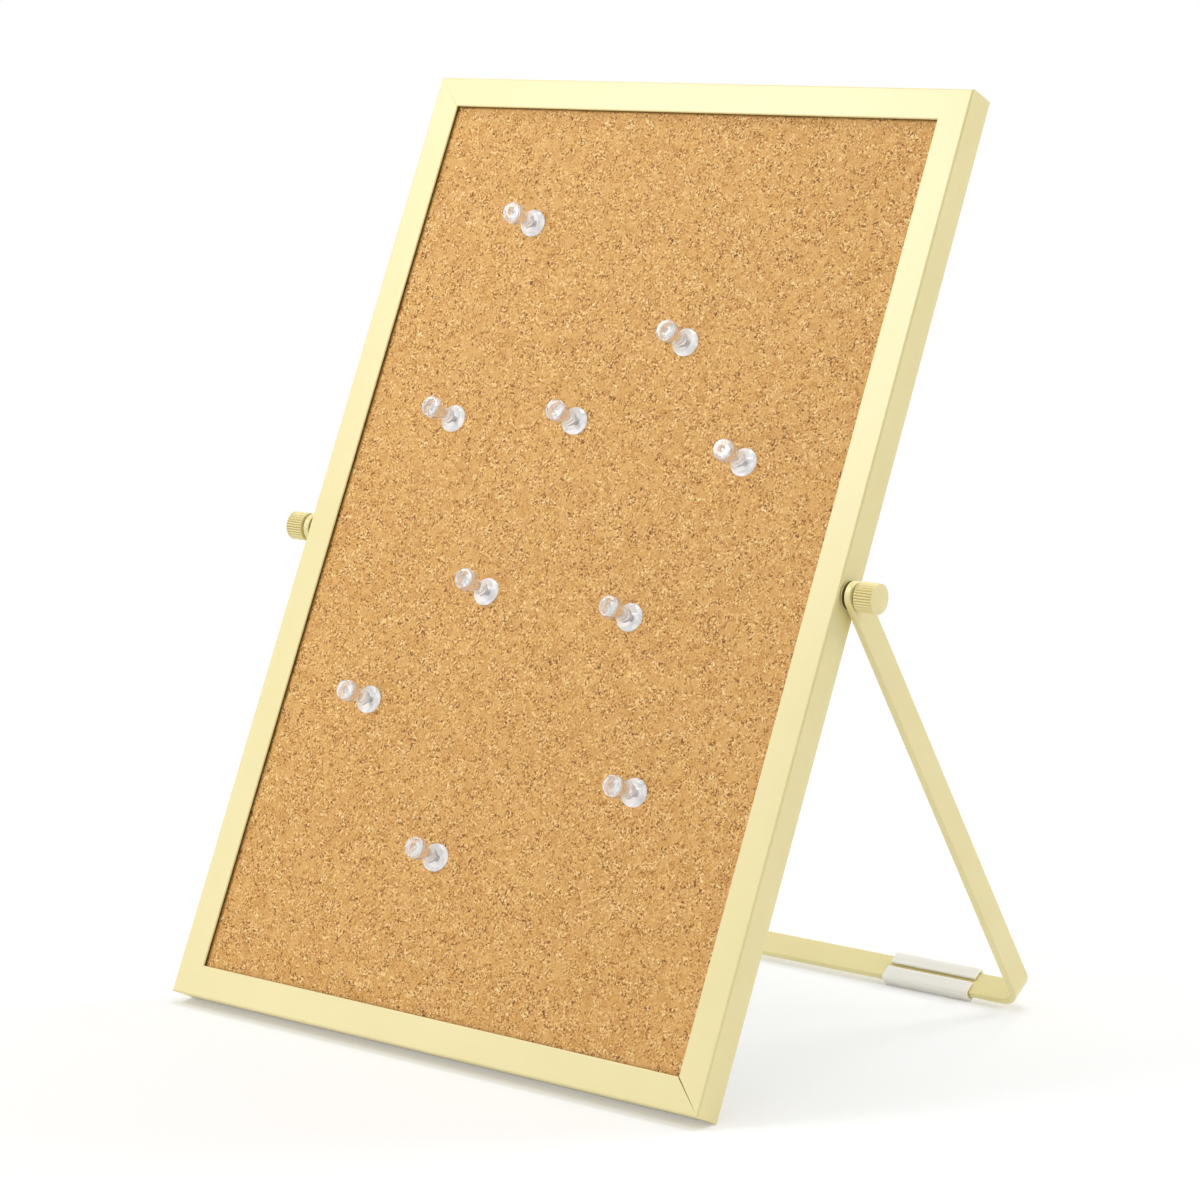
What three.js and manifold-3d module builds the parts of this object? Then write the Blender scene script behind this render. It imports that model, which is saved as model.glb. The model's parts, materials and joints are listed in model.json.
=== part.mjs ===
import * as THREE from 'three';
import { mergeVertices } from 'three/addons/utils/BufferGeometryUtils.js';
import Module from 'manifold-3d';

// Desktop combination board: cork in front, dry-erase steel behind, in an aluminium frame
// that two thumb screws clamp between the legs of a bent U-shaped stand.
// Millimetres, +Z up, +X to the right of a reader who faces the cork, +Y away from that reader.
// The origin is on the table, at the middle of the space that the whole object covers.

const wasm = await Module();
wasm.setup();

// Running gap between pieces that touch, and the overrun of every cutter
const clearance = 0.3;
const overrun = 1;

// Board and its frame extrusion
const board_width = 200;
const board_height = 300;
const frame_depth = 10;
const frame_face = 9.6;
const wall = 1.2;
const web = 1;
const key_chamber = 3.6;
const edge_round = 0.6;

// Corner keys pushed into the chambers of two neighbouring rails
const key_arm = 22;

// Layers held in the slot of the frame, front to back
const cork_thickness = 2.2;
const sheet_thickness = 0.4;

// Stand bent from one flat bar, with a hole near each end
const stand_bar_width = 8.5;
const stand_bar_thickness = 2.2;
const stand_bend = 6.5;
const swing_room = 11.2;
const opening_angle = THREE.MathUtils.degToRad(59.35);

// Silicone sleeves clipped on the crossbar
const sleeve_length = 31;
const sleeve_wall = 0.9;
const sleeve_slit = 2;
const sleeve_inset = 18;
const sleeve_round = 1;

// Thumb screws, their washers and the nuts in the frame
const stud_radius = 2;
const thread_pitch = 0.7;
const thread_height = 0.35;
const threaded_length = 6.3;
const spacer_radius = 4.2;
const spacer_thickness = 0.7;
const washer_radius = 3.3;
const washer_thickness = 0.4;
const knob_radius = 4.35;
const knob_length = 6;
const knob_chamfer = 0.3;
const knob_plain_end = 0.6;
const knob_stud_seat = 4;
const flute_depth = 0.3;
const flute_count = 32;
const nut_radius = 3;
const nut_collar_radius = 3.6;
const nut_collar_thickness = 0.9;

// Clear push pins
const pin_length = 12.8;
const pin_flange_radius = 4.25;
const pin_flange_thickness = 1.1;
const pin_flange_round = 0.3;
const pin_waist_radius = 2;
const pin_head_radius = 3.2;
const pin_head_length = 3.3;
const pin_head_round = 0.4;
const pin_dimple_radius = 1.9;
const pin_dimple_depth = 0.6;
const needle_radius = 0.55;
const needle_reach = 5.5;
const needle_tip = 1.6;
const needle_seat = 6;

// Places of the pins, as shares of half the open width and half the open height of the frame
const pin_place_shares = [
  [-0.512, 0.731], [0.263, 0.486], [-0.615, 0.273], [-0.096, 0.293], [0.618, 0.241],
  [-0.262, -0.099], [0.345, -0.112], [-0.626, -0.368], [0.55, -0.468], [-0.157, -0.674],
];

// Lean of each pin from square, in degrees to the right and up the board
const pin_leans = [
  [5, -6], [6, -3], [2, -1], [7, -3], [3, -1], [2, 2], [4, -1], [3, -2], [5, -5], [6, 1],
];

// Facets on round shapes
const round_steps = 32;
const pin_steps = 16;
const needle_steps = 10;
const bend_steps = 6;
const edge_steps = 3;

// Heights and half sizes that follow from the values above
const half_width = board_width / 2;
const half_height = board_height / 2;
const half_depth = frame_depth / 2;
const slot_bottom = wall + key_chamber + web;
const cork_front = wall + clearance;
const core_front = cork_front + cork_thickness + clearance;
const sheet_front = frame_depth - wall - clearance - sheet_thickness;
const core_thickness = sheet_front - clearance - core_front;
const key_thickness = frame_depth - 2 * (wall + clearance);
const key_width = key_chamber - 2 * clearance;
const nut_depth = wall + key_chamber - clearance;
const spacer_base = clearance;
const leg_inner = spacer_base + spacer_thickness + clearance;
const leg_outer = leg_inner + stand_bar_thickness;
const washer_base = leg_outer + clearance;
const knob_base = washer_base + washer_thickness + clearance;
const stand_half_width = half_width + leg_outer;
const stand_reach = Math.hypot(half_height, half_depth) + swing_room + stand_bar_thickness;
const sleeve_skin = clearance + sleeve_wall;
const sleeve_half_width = stand_bar_width / 2 + sleeve_skin;
const sleeve_reach = stand_reach + sleeve_skin;
const sleeve_centre = stand_half_width - sleeve_inset - sleeve_length / 2;
const stud_hole_radius = stud_radius + clearance;
const needle_hole_radius = needle_radius + clearance;

// Lean of the board at which its back bottom edge and the sleeves both touch the table.
// Both stand below the pivot by the same height: (half_height - edge_round) cos(lean) +
// (half_depth - edge_round) sin(lean) + edge_round for the board, and the same form for the
// sleeves at the angle opening_angle - lean, which gives one equation P cos + Q sin = R.
const sleeve_corner_out = sleeve_half_width - sleeve_round;
const sleeve_corner_down = sleeve_reach - sleeve_round;
const lean_cos_part = half_height - edge_round
  - sleeve_corner_out * Math.sin(opening_angle) - sleeve_corner_down * Math.cos(opening_angle);
const lean_sin_part = half_depth - edge_round
  + sleeve_corner_out * Math.cos(opening_angle) - sleeve_corner_down * Math.sin(opening_angle);
const lean_right_side = sleeve_round - edge_round;
const board_lean = Math.atan2(lean_sin_part, lean_cos_part)
  + Math.acos(lean_right_side / Math.hypot(lean_cos_part, lean_sin_part));
const stand_lean = opening_angle - board_lean;

// Place of the pivot axis above the table and behind the middle of the footprint
const pivot_height = (half_height - edge_round) * Math.cos(board_lean)
  + (half_depth - edge_round) * Math.sin(board_lean) + edge_round;
const reach_forward = (half_height - edge_round) * Math.sin(board_lean)
  + (half_depth - edge_round) * Math.cos(board_lean) + edge_round;
const reach_back = sleeve_corner_down * Math.sin(stand_lean)
  + sleeve_corner_out * Math.cos(stand_lean) + sleeve_round;
const pivot_back = (reach_forward - reach_back) / 2;

// Materials
const finish = (color, roughness, metalness, opacity = 1) => new THREE.MeshStandardMaterial({
  color, roughness, metalness, opacity, transparent: opacity < 1,
});
const yellow_paint = finish('#ece2a8', 0.5, 0.1);
const bare_steel = finish('#a9abad', 0.4, 0.9);
const cork = finish('#d3a568', 0.9, 0);
const fibre_board = finish('#a88a63', 0.9, 0);
const white_enamel = finish('#f3f4f2', 0.2, 0);
const nylon = finish('#e6dfb8', 0.5, 0);
const silicone = finish('#eeeeea', 0.5, 0);
const clear_plastic = finish('#eef1f3', 0.1, 0, 0.4);

// Closed geometry to solid and back
function to_solid(geometry) {
  const bare = geometry.clone();
  bare.deleteAttribute('normal');
  bare.deleteAttribute('uv');
  const merged = mergeVertices(bare);
  return new wasm.Manifold(new wasm.Mesh({
    numProp: 3,
    vertProperties: new Float32Array(merged.attributes.position.array),
    triVerts: new Uint32Array(merged.index.array),
  }));
}

function to_geometry(solid) {
  const mesh = solid.getMesh();
  const geometry = new THREE.BufferGeometry();
  geometry.setAttribute('position', new THREE.BufferAttribute(mesh.vertProperties, mesh.numProp));
  geometry.setIndex(new THREE.BufferAttribute(mesh.triVerts, 1));
  geometry.computeVertexNormals();
  return geometry;
}

const cut = (geometry, ...cutters) => to_geometry(
  cutters.reduce((solid, cutter) => solid.subtract(to_solid(cutter)), to_solid(geometry)),
);

const part = (name, geometry, material) => {
  const mesh = new THREE.Mesh(geometry, material);
  mesh.name = name;
  return mesh;
};

// Directions of the board's own frame
const x_axis = new THREE.Vector3(1, 0, 0);
const y_axis = new THREE.Vector3(0, 1, 0);
const z_axis = new THREE.Vector3(0, 0, 1);

// Outline in X and Z, given a thickness along Y, centred on y = 0
function upright(outline, thickness, steps = edge_steps) {
  const settings = { depth: thickness, bevelEnabled: false, curveSegments: steps };
  const geometry = new THREE.ExtrudeGeometry(outline, settings);
  geometry.translate(0, 0, -thickness / 2);
  const turn = new THREE.Matrix4().makeBasis(x_axis, z_axis, y_axis.clone().negate());
  return geometry.applyMatrix4(turn);
}

// Outline in Y and Z, given a length along X, centred on x = 0
function lengthwise(outline, length, steps = edge_steps) {
  const settings = { depth: length, bevelEnabled: false, curveSegments: steps };
  const geometry = new THREE.ExtrudeGeometry(outline, settings);
  geometry.translate(0, 0, -length / 2);
  return geometry.applyMatrix4(new THREE.Matrix4().makeBasis(y_axis, z_axis, x_axis));
}

// Profile of radius and height pairs turned round the Z axis
function turned(profile, steps = round_steps) {
  const points = profile.map(([radius, height]) => new THREE.Vector2(radius, height));
  return new THREE.LatheGeometry(points, steps).rotateX(Math.PI / 2);
}

// Plain cylinder on the Z axis, from one height to another
const rod = (radius, low, high, steps = round_steps) => turned(
  [[0, low], [radius, low], [radius, high], [0, high]], steps,
);

// Ring on the Z axis
const ring = (bore, radius, low, high) => turned(
  [[bore, low], [radius, low], [radius, high], [bore, high], [bore, low]],
);

// Section of the frame extrusion: first the distance in from the outer side, then from the front.
// It has a closed chamber for the corner keys and an open slot for the layers.
function rail_section() {
  const outline = new THREE.Shape();
  outline.moveTo(edge_round, 0);
  outline.lineTo(frame_face, 0);
  outline.lineTo(frame_face, wall);
  outline.lineTo(slot_bottom, wall);
  outline.lineTo(slot_bottom, frame_depth - wall);
  outline.lineTo(frame_face, frame_depth - wall);
  outline.lineTo(frame_face, frame_depth);
  outline.lineTo(edge_round, frame_depth);
  outline.absarc(edge_round, frame_depth - edge_round, edge_round, Math.PI / 2, Math.PI, false);
  outline.absarc(edge_round, edge_round, edge_round, Math.PI, Math.PI * 1.5, false);
  const chamber = new THREE.Path();
  chamber.moveTo(wall, wall);
  chamber.lineTo(wall, frame_depth - wall);
  chamber.lineTo(wall + key_chamber, frame_depth - wall);
  chamber.lineTo(wall + key_chamber, wall);
  chamber.closePath();
  outline.holes.push(chamber);
  return outline;
}

// One frame rail, mitred at both ends: a point that lies deeper in from the outer side
// lies nearer the middle by the same distance
function rail(outward, half_span, half_length) {
  const settings = { depth: 1, bevelEnabled: false, curveSegments: edge_steps };
  const geometry = new THREE.ExtrudeGeometry(rail_section(), settings);
  const along = new THREE.Vector3().crossVectors(y_axis, outward);
  const corner = half_length - clearance / Math.SQRT2;
  const place = geometry.attributes.position;
  const point = new THREE.Vector3();
  for (let i = 0; i < place.count; i += 1) {
    const inward = place.getX(i);
    const end = place.getZ(i) * 2 - 1;
    point.copy(outward).multiplyScalar(half_span - inward);
    point.addScaledVector(y_axis, place.getY(i) - half_depth);
    point.addScaledVector(along, end * (corner - inward));
    place.setXYZ(i, point.x, point.y, point.z);
  }
  return geometry;
}

// Side rail with the hole that its nut is set in
function side_rail(side) {
  const outward = x_axis.clone().multiplyScalar(side);
  const drill = rod(nut_radius + clearance, -wall - key_chamber / 2, overrun);
  drill.applyMatrix4(screw_place(side));
  return cut(rail(outward, half_width, half_height), drill);
}

// Stamped L that joins two rails
function corner_key(side, end) {
  const outer_x = half_width - wall - clearance;
  const outer_z = half_height - wall - clearance;
  const corners = [
    [0, 0], [key_arm, 0], [key_arm, key_width],
    [key_width, key_width], [key_width, key_arm], [0, key_arm],
  ];
  const outline = new THREE.Shape(corners.map(
    ([in_x, in_z]) => new THREE.Vector2(side * (outer_x - in_x), end * (outer_z - in_z)),
  ));
  return upright(outline, key_thickness);
}

// Flat layer in the frame's slot
function layer(front, thickness) {
  const width = board_width - 2 * (slot_bottom + clearance);
  const height = board_height - 2 * (slot_bottom + clearance);
  const geometry = new THREE.BoxGeometry(width, thickness, height);
  return geometry.translate(0, front + thickness / 2 - half_depth, 0);
}

// Place of one pin: its own Z axis runs out of the board, and the low side of its leaning
// flange clears the cork
function pin_place([share_x, share_z], [lean_right, lean_up]) {
  const direction = new THREE.Vector3(
    Math.tan(THREE.MathUtils.degToRad(lean_right)),
    -1,
    Math.tan(THREE.MathUtils.degToRad(lean_up)),
  ).normalize();
  const lean = direction.angleTo(y_axis.clone().negate());
  const stand_off = clearance + pin_flange_radius * Math.sin(lean);
  const position = new THREE.Vector3(
    share_x * (half_width - frame_face),
    cork_front - stand_off - half_depth,
    share_z * (half_height - frame_face),
  );
  const turn = new THREE.Quaternion().setFromUnitVectors(z_axis, direction);
  return new THREE.Matrix4().compose(position, turn, new THREE.Vector3(1, 1, 1));
}

const pin_places = pin_place_shares.map((shares, i) => pin_place(shares, pin_leans[i]));

// Hole that each needle has made, from in front of the cork to just past its tip
const needle_holes = () => pin_places.map((place) => rod(
  needle_hole_radius, -needle_reach - clearance, overrun, needle_steps,
).applyMatrix4(place));

// Clear body of a pin, with the bore that its needle is moulded in
function pin_body() {
  const bore_top = needle_seat + clearance;
  const cone_top = pin_flange_thickness + pin_waist_radius;
  const head_base = pin_length - pin_head_length;
  return turned([
    [0, bore_top],
    [needle_hole_radius, bore_top],
    [needle_hole_radius, 0],
    [pin_flange_radius - pin_flange_round, 0],
    [pin_flange_radius, pin_flange_round],
    [pin_flange_radius, pin_flange_thickness],
    [(pin_flange_radius + pin_waist_radius) / 2, (pin_flange_thickness + cone_top) / 2],
    [pin_waist_radius, cone_top],
    [pin_waist_radius, head_base - pin_head_round],
    [pin_head_radius - pin_head_round, head_base],
    [pin_head_radius, head_base + pin_head_round],
    [pin_head_radius, pin_length - pin_head_round],
    [pin_head_radius - pin_head_round, pin_length],
    [pin_dimple_radius, pin_length],
    [0, pin_length - pin_dimple_depth],
  ], pin_steps);
}

const pin_needle = () => turned([
  [0, -needle_reach],
  [needle_radius, needle_tip - needle_reach],
  [needle_radius, needle_seat],
  [0, needle_seat],
], needle_steps);

// Place of a thumb screw: its own Z axis runs out of the frame's side, on the pivot axis
function screw_place(side) {
  const turn = new THREE.Matrix4().makeRotationY(side * Math.PI / 2);
  return turn.setPosition(side * half_width, 0, 0);
}

// Rivet nut set in the outer wall of a side rail
const frame_nut = () => turned([
  [stud_hole_radius, -nut_depth],
  [nut_radius, -nut_depth],
  [nut_radius, -wall - clearance - nut_collar_thickness],
  [nut_collar_radius, -wall - clearance - nut_collar_thickness],
  [nut_collar_radius, -wall - clearance],
  [nut_radius, -wall - clearance],
  [nut_radius, 0],
  [stud_hole_radius, 0],
  [stud_hole_radius, -nut_depth],
]);

// Screw pressed into the knob, with its thread drawn as rings one pitch apart
function stud() {
  const tip = clearance - nut_depth;
  const profile = [[0, tip]];
  const threads = Math.round(threaded_length / thread_pitch);
  for (let i = 0; i < threads; i += 1) {
    profile.push([stud_radius - thread_height, tip + i * thread_pitch]);
    profile.push([stud_radius, tip + (i + 1 / 2) * thread_pitch]);
  }
  profile.push([stud_radius - thread_height, tip + threads * thread_pitch]);
  profile.push([stud_radius, tip + threads * thread_pitch]);
  profile.push([stud_radius, knob_base + knob_stud_seat]);
  profile.push([0, knob_base + knob_stud_seat]);
  return turned(profile, pin_steps);
}

// Knurled knob: a turned body with straight flutes that stop short of its outer end.
// A star whose points pass as far beyond the rim as its hollows lie inside it leaves each rib
// a flat as wide as a flute.
function knob() {
  const top = knob_base + knob_length;
  const seat_top = knob_base + knob_stud_seat + clearance;
  const body = turned([
    [0, seat_top],
    [stud_hole_radius, seat_top],
    [stud_hole_radius, knob_base],
    [knob_radius - knob_chamfer, knob_base],
    [knob_radius, knob_base + knob_chamfer],
    [knob_radius, top - knob_chamfer],
    [knob_radius - knob_chamfer, top],
    [0, top],
  ], 2 * flute_count);
  const cutter_outline = new THREE.Shape();
  cutter_outline.absarc(0, 0, knob_radius + overrun, 0, 2 * Math.PI, false);
  const star = [];
  for (let i = 0; i < 2 * flute_count; i += 1) {
    const angle = i * Math.PI / flute_count;
    const radius = knob_radius + (i % 2 ? flute_depth : -flute_depth);
    star.push(new THREE.Vector2(radius * Math.cos(angle), radius * Math.sin(angle)));
  }
  cutter_outline.holes.push(new THREE.Path(star));
  const depth = knob_length - knob_plain_end + overrun;
  const cutter = new THREE.ExtrudeGeometry(cutter_outline, {
    depth, bevelEnabled: false, curveSegments: round_steps,
  });
  cutter.translate(0, 0, knob_base - overrun);
  return cut(body, cutter);
}

// Stand: the bent bar, its ends rounded about the pivot and drilled for the studs.
// Drawn hanging straight down from the pivot axis.
function stand_bar() {
  const inner_x = stand_half_width - stand_bar_thickness;
  const inner_z = stand_reach - stand_bar_thickness;
  const inner_bend = stand_bend - stand_bar_thickness;
  const end_radius = stand_bar_width / 2;
  const outline = new THREE.Shape();
  outline.moveTo(-stand_half_width, end_radius);
  outline.absarc(stand_bend - stand_half_width, stand_bend - stand_reach,
    stand_bend, Math.PI, Math.PI * 1.5, false);
  outline.absarc(stand_half_width - stand_bend, stand_bend - stand_reach,
    stand_bend, Math.PI * 1.5, Math.PI * 2, false);
  outline.lineTo(stand_half_width, end_radius);
  outline.lineTo(inner_x, end_radius);
  outline.absarc(inner_x - inner_bend, inner_bend - inner_z, inner_bend, 0, -Math.PI / 2, true);
  outline.absarc(inner_bend - inner_x, inner_bend - inner_z,
    inner_bend, -Math.PI / 2, -Math.PI, true);
  outline.lineTo(-inner_x, end_radius);
  outline.closePath();

  const keep = new THREE.Shape();
  keep.moveTo(end_radius, 0);
  keep.absarc(0, 0, end_radius, 0, Math.PI, false);
  keep.lineTo(-end_radius - overrun, 0);
  keep.lineTo(-end_radius - overrun, -stand_reach - overrun);
  keep.lineTo(end_radius + overrun, -stand_reach - overrun);
  keep.lineTo(end_radius + overrun, 0);
  keep.closePath();

  const through = 2 * (stand_half_width + overrun);
  const bent = to_solid(upright(outline, stand_bar_width, bend_steps));
  const rounded = bent.intersect(to_solid(lengthwise(keep, through, round_steps / 2)));
  const drill = rod(stud_hole_radius, -through / 2, through / 2).rotateY(Math.PI / 2);
  return to_geometry(rounded.subtract(to_solid(drill)));
}

// Silicone sleeve: a slit tube of the bar's section, open along the bar's upper face
function sleeve(side) {
  const out = sleeve_half_width;
  const low = -sleeve_reach;
  const high = sleeve_skin - (stand_reach - stand_bar_thickness);
  const inner_out = stand_bar_width / 2 + clearance;
  const inner_low = -stand_reach - clearance;
  const inner_high = clearance - (stand_reach - stand_bar_thickness);
  const round = sleeve_round;
  const outline = new THREE.Shape();
  outline.moveTo(-sleeve_slit / 2, high);
  outline.absarc(round - out, high - round, round, Math.PI / 2, Math.PI, false);
  outline.absarc(round - out, low + round, round, Math.PI, Math.PI * 1.5, false);
  outline.absarc(out - round, low + round, round, Math.PI * 1.5, Math.PI * 2, false);
  outline.absarc(out - round, high - round, round, 0, Math.PI / 2, false);
  outline.lineTo(sleeve_slit / 2, high);
  outline.lineTo(sleeve_slit / 2, inner_high);
  outline.lineTo(inner_out, inner_high);
  outline.lineTo(inner_out, inner_low);
  outline.lineTo(-inner_out, inner_low);
  outline.lineTo(-inner_out, inner_high);
  outline.lineTo(-sleeve_slit / 2, inner_high);
  outline.closePath();
  return lengthwise(outline, sleeve_length).translate(side * sleeve_centre, 0, 0);
}

// Framed board, drawn upright about the pivot axis
const sides = [['left', -1], ['right', 1]];
const ends = [['bottom', -1], ['top', 1]];
const board = new THREE.Group();
for (const [name, side] of sides) {
  board.add(part(`frame_rail_${name}`, side_rail(side), yellow_paint));
}
for (const [name, end] of ends) {
  const outward = z_axis.clone().multiplyScalar(end);
  board.add(part(`frame_rail_${name}`, rail(outward, half_height, half_width), yellow_paint));
}
for (const [end_name, end] of ends) {
  for (const [side_name, side] of sides) {
    board.add(part(`corner_key_${end_name}_${side_name}`, corner_key(side, end), bare_steel));
  }
}
board.add(part('cork_sheet', cut(layer(cork_front, cork_thickness), ...needle_holes()), cork));
board.add(part('core_board', cut(layer(core_front, core_thickness), ...needle_holes()), fibre_board));
board.add(part('dry_erase_sheet', layer(sheet_front, sheet_thickness), white_enamel));

// Pins in the cork
pin_places.forEach((place, i) => {
  const pin = new THREE.Group();
  const number = String(i + 1).padStart(2, '0');
  pin.applyMatrix4(place);
  pin.add(part(`push_pin_body_${number}`, pin_body(), clear_plastic));
  pin.add(part(`push_pin_needle_${number}`, pin_needle(), bare_steel));
  board.add(pin);
});

// Thumb screw, washers and nut on each side
for (const [name, side] of sides) {
  const screw = new THREE.Group();
  screw.applyMatrix4(screw_place(side));
  const spacer = ring(stud_hole_radius, spacer_radius, spacer_base, spacer_base + spacer_thickness);
  const washer = ring(stud_hole_radius, washer_radius, washer_base, washer_base + washer_thickness);
  screw.add(part(`frame_nut_${name}`, frame_nut(), bare_steel));
  screw.add(part(`pivot_spacer_${name}`, spacer, nylon));
  screw.add(part(`knob_washer_${name}`, washer, nylon));
  screw.add(part(`thumb_screw_stud_${name}`, stud(), bare_steel));
  screw.add(part(`thumb_screw_knob_${name}`, knob(), yellow_paint));
  board.add(screw);
}
board.rotation.x = -board_lean;

// Stand with its sleeves, swung back about the same axis
const stand = new THREE.Group();
stand.add(part('stand_bar', stand_bar(), yellow_paint));
for (const [name, side] of sides) {
  stand.add(part(`silicone_sleeve_${name}`, sleeve(side), silicone));
}
stand.rotation.x = stand_lean;

const combination_board = new THREE.Group();
combination_board.add(board, stand);
combination_board.position.set(0, pivot_back, pivot_height);

export default combination_board;
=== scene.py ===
"""Desktop board with a cork face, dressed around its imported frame.

Lengths are metres. Three local frames are used: the board's (X right, Y back, Z up the board),
the stand's (Z up its legs) and one for each turned piece (Z on its axis).
"""

import json
import math

import bmesh
import bpy
import numpy as np
from bpy.props import FloatProperty, FloatVectorProperty, IntProperty, PointerProperty
from mathutils import Matrix, Vector
from mathutils.geometry import tessellate_polygon


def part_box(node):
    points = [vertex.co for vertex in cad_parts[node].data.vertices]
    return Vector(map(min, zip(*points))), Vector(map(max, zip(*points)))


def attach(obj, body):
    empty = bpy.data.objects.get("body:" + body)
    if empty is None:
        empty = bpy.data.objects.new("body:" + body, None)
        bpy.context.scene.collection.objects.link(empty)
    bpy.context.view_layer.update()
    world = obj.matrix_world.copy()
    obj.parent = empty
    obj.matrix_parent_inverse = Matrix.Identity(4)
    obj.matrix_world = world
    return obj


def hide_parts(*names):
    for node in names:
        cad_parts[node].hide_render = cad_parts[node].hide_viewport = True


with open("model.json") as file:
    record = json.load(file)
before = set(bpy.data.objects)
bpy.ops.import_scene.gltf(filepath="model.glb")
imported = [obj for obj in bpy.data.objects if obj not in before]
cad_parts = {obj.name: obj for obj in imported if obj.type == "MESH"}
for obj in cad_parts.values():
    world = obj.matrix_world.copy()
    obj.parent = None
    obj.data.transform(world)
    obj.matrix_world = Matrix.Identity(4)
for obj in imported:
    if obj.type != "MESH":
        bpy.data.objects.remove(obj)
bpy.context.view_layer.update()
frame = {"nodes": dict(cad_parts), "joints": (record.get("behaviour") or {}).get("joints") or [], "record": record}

bl_info = {
    "name": "Desktop cork board",
    "version": (1, 0, 0),
    "blender": (4, 5, 0),
    "location": "3D View > Sidebar > Cork board",
    "description": "Dresses a leaning cork board: frame, cork, pins, stand, sleeves, screws",
    "category": "Add Mesh",
}

SIDES = {"left": -1, "right": 1}
PINS = tuple(name[-2:] for name in sorted(frame["nodes"]) if name.startswith("push_pin_body"))


class Place:
    """A local frame: its origin and its three axes, as rows."""

    def __init__(self, origin, x, z):
        self.origin = np.array(origin, float)
        z = np.array(z, float) / np.linalg.norm(z)
        x = np.array(x, float) - np.dot(x, z) * z
        x /= np.linalg.norm(x)
        self.axes = np.stack([x, np.cross(z, x), z])

    def out(self, points):
        """Local points to the row frame: origin plus each coordinate times its axis."""
        return np.asarray(points, float) @ self.axes + self.origin

    def into(self, points):
        """Row frame points to local ones: how far each lies along the three axes."""
        return (np.asarray(points, float) - self.origin) @ self.axes.T

    def box(self, node):
        """Lowest and highest local coordinates of a CAD node."""
        local = self.into(corners_of(node))
        return local.min(0), local.max(0)


def corners_of(node):
    """All vertices of a CAD node, as rows of x, y, z."""
    mesh = frame["nodes"][node].data
    flat = np.empty(3 * len(mesh.vertices), np.float32)
    mesh.vertices.foreach_get("co", flat)
    return flat.reshape(-1, 3).astype(float)


def pivot_point():
    """Where the axis of the thumb screws crosses the middle plane, from the right spacer."""
    low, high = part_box("pivot_spacer_right")
    middle = (low + high) / 2
    return (0, middle.y, middle.z)


def board_place():
    """The board's frame: Z is the direction in which its top face looks."""
    top = next(m for m in frame["record"]["mounts"] if m["name"] == "frame_top")
    return Place(pivot_point(), (1, 0, 0), top["axis"])


def stand_place():
    """The stand's frame. The two outer corner lines of the crossbar are the points farthest
    from the pivot, and the legs hang along the middle of the angle between them."""
    offset = corners_of("stand_bar") - np.array(pivot_point())
    reach = np.hypot(offset[:, 1], offset[:, 2])
    far = offset[reach > 0.9999 * reach.max()]
    angle = np.arctan2(far[:, 1], -far[:, 2])
    swing = (angle.min() + angle.max()) / 2
    return Place(pivot_point(), (1, 0, 0), (0, -math.sin(swing), math.cos(swing)))


BOARD = board_place()
STAND = stand_place()
RAIL_LOW, RAIL_HIGH = BOARD.box("frame_rail_right")
HALF_WIDTH, HALF_HEIGHT, HALF_DEPTH = RAIL_HIGH[0], BOARD.box("frame_rail_top")[1][2], RAIL_HIGH[1]
FRAME_FACE = RAIL_HIGH[0] - RAIL_LOW[0]


def screw_place(side):
    """Frame of a thumb screw: Z runs out of the side of the board, on the pivot axis."""
    return Place(BOARD.out((side * HALF_WIDTH, 0, 0)), BOARD.axes[2], (side, 0, 0))


def pin_place(number):
    """Frame of a push pin: Z is the way it pulls out, from the middle of its flange's base."""
    pull = next(j for j in frame["joints"] if j["name"] == f"pin_{number}_pull")
    place = Place((0, 0, 0), BOARD.axes[0], pull["axis"])
    low, high = place.box(f"push_pin_body_{number}")
    middle = (low + high) / 2
    place.origin = place.out((middle[0], middle[1], low[2]))
    return place


# Sizes and settings that a user may change

def size(name, millimetres, description):
    """A length setting, given in millimetres and kept in metres."""
    return FloatProperty(name=name, description=description, default=millimetres / 1000,
                         min=0, precision=5, unit="LENGTH")


class BoardFrameSizes(bpy.types.PropertyGroup):
    """Sizes of the frame extrusion and the cork"""
    wall: size("Wall", 1.2, "Thickness of the extrusion's walls")
    web: size("Web", 1.0, "Wall between the key chamber and the slot")
    chamber: size("Key chamber", 3.6, "Width of the chamber that holds the corner keys")
    edge: size("Outer edge", 0.63, "Radius of the frame's outer edges")
    lip: size("Lip edge", 0.46, "Thickness of the lips' rounded edges, which are undercut")
    undercut: size("Undercut", 1.6, "How far back from its edge a lip has its full thickness")
    mitre_gap: size("Mitre gap", 0.12, "Gap at the inner end of a tight mitre")
    open_gap: size("Open mitre gap", 0.42, "Gap at the inner end of the opened mitre, low right")
    nut_hole: size("Nut hole", 3.3, "Radius of the hole for the rivet nut")
    cork_cell: size("Cork grid", 0.8, "Side of one cell of the cork's surface")
    granule: size("Cork granule", 2.2, "Usual size of one granule of cork")
    relief: size("Cork relief", 0.12, "Height between the lowest and highest granules")
    rise: size("Cork rise", 0.25, "How far the cork's crests stand before the sheet's flat face")
    pin_hole: size("Pin hole", 2.5, "Depth of the hole that a needle has pressed in the cork")


class StandSizes(bpy.types.PropertyGroup):
    """Sizes of the bent bar and its sleeves"""
    bend: size("Bend", 6.5, "Outer radius of the two bends")
    hole: size("Hole", 2.3, "Radius of the hole for the screw")
    edge: size("Bar edge", 0.45, "Rounding of the bar's long edges")
    slit: size("Sleeve slit", 1.6, "Opening along the top of a sleeve")
    sleeve_wall: size("Sleeve wall", 0.9, "Thickness of a sleeve")
    sleeve_round: size("Sleeve corner", 1.03, "Outer radius of a sleeve's corners")
    sleeve_edge: size("Sleeve edge", 0.25, "Rounding of a sleeve's cut edges")


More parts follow.
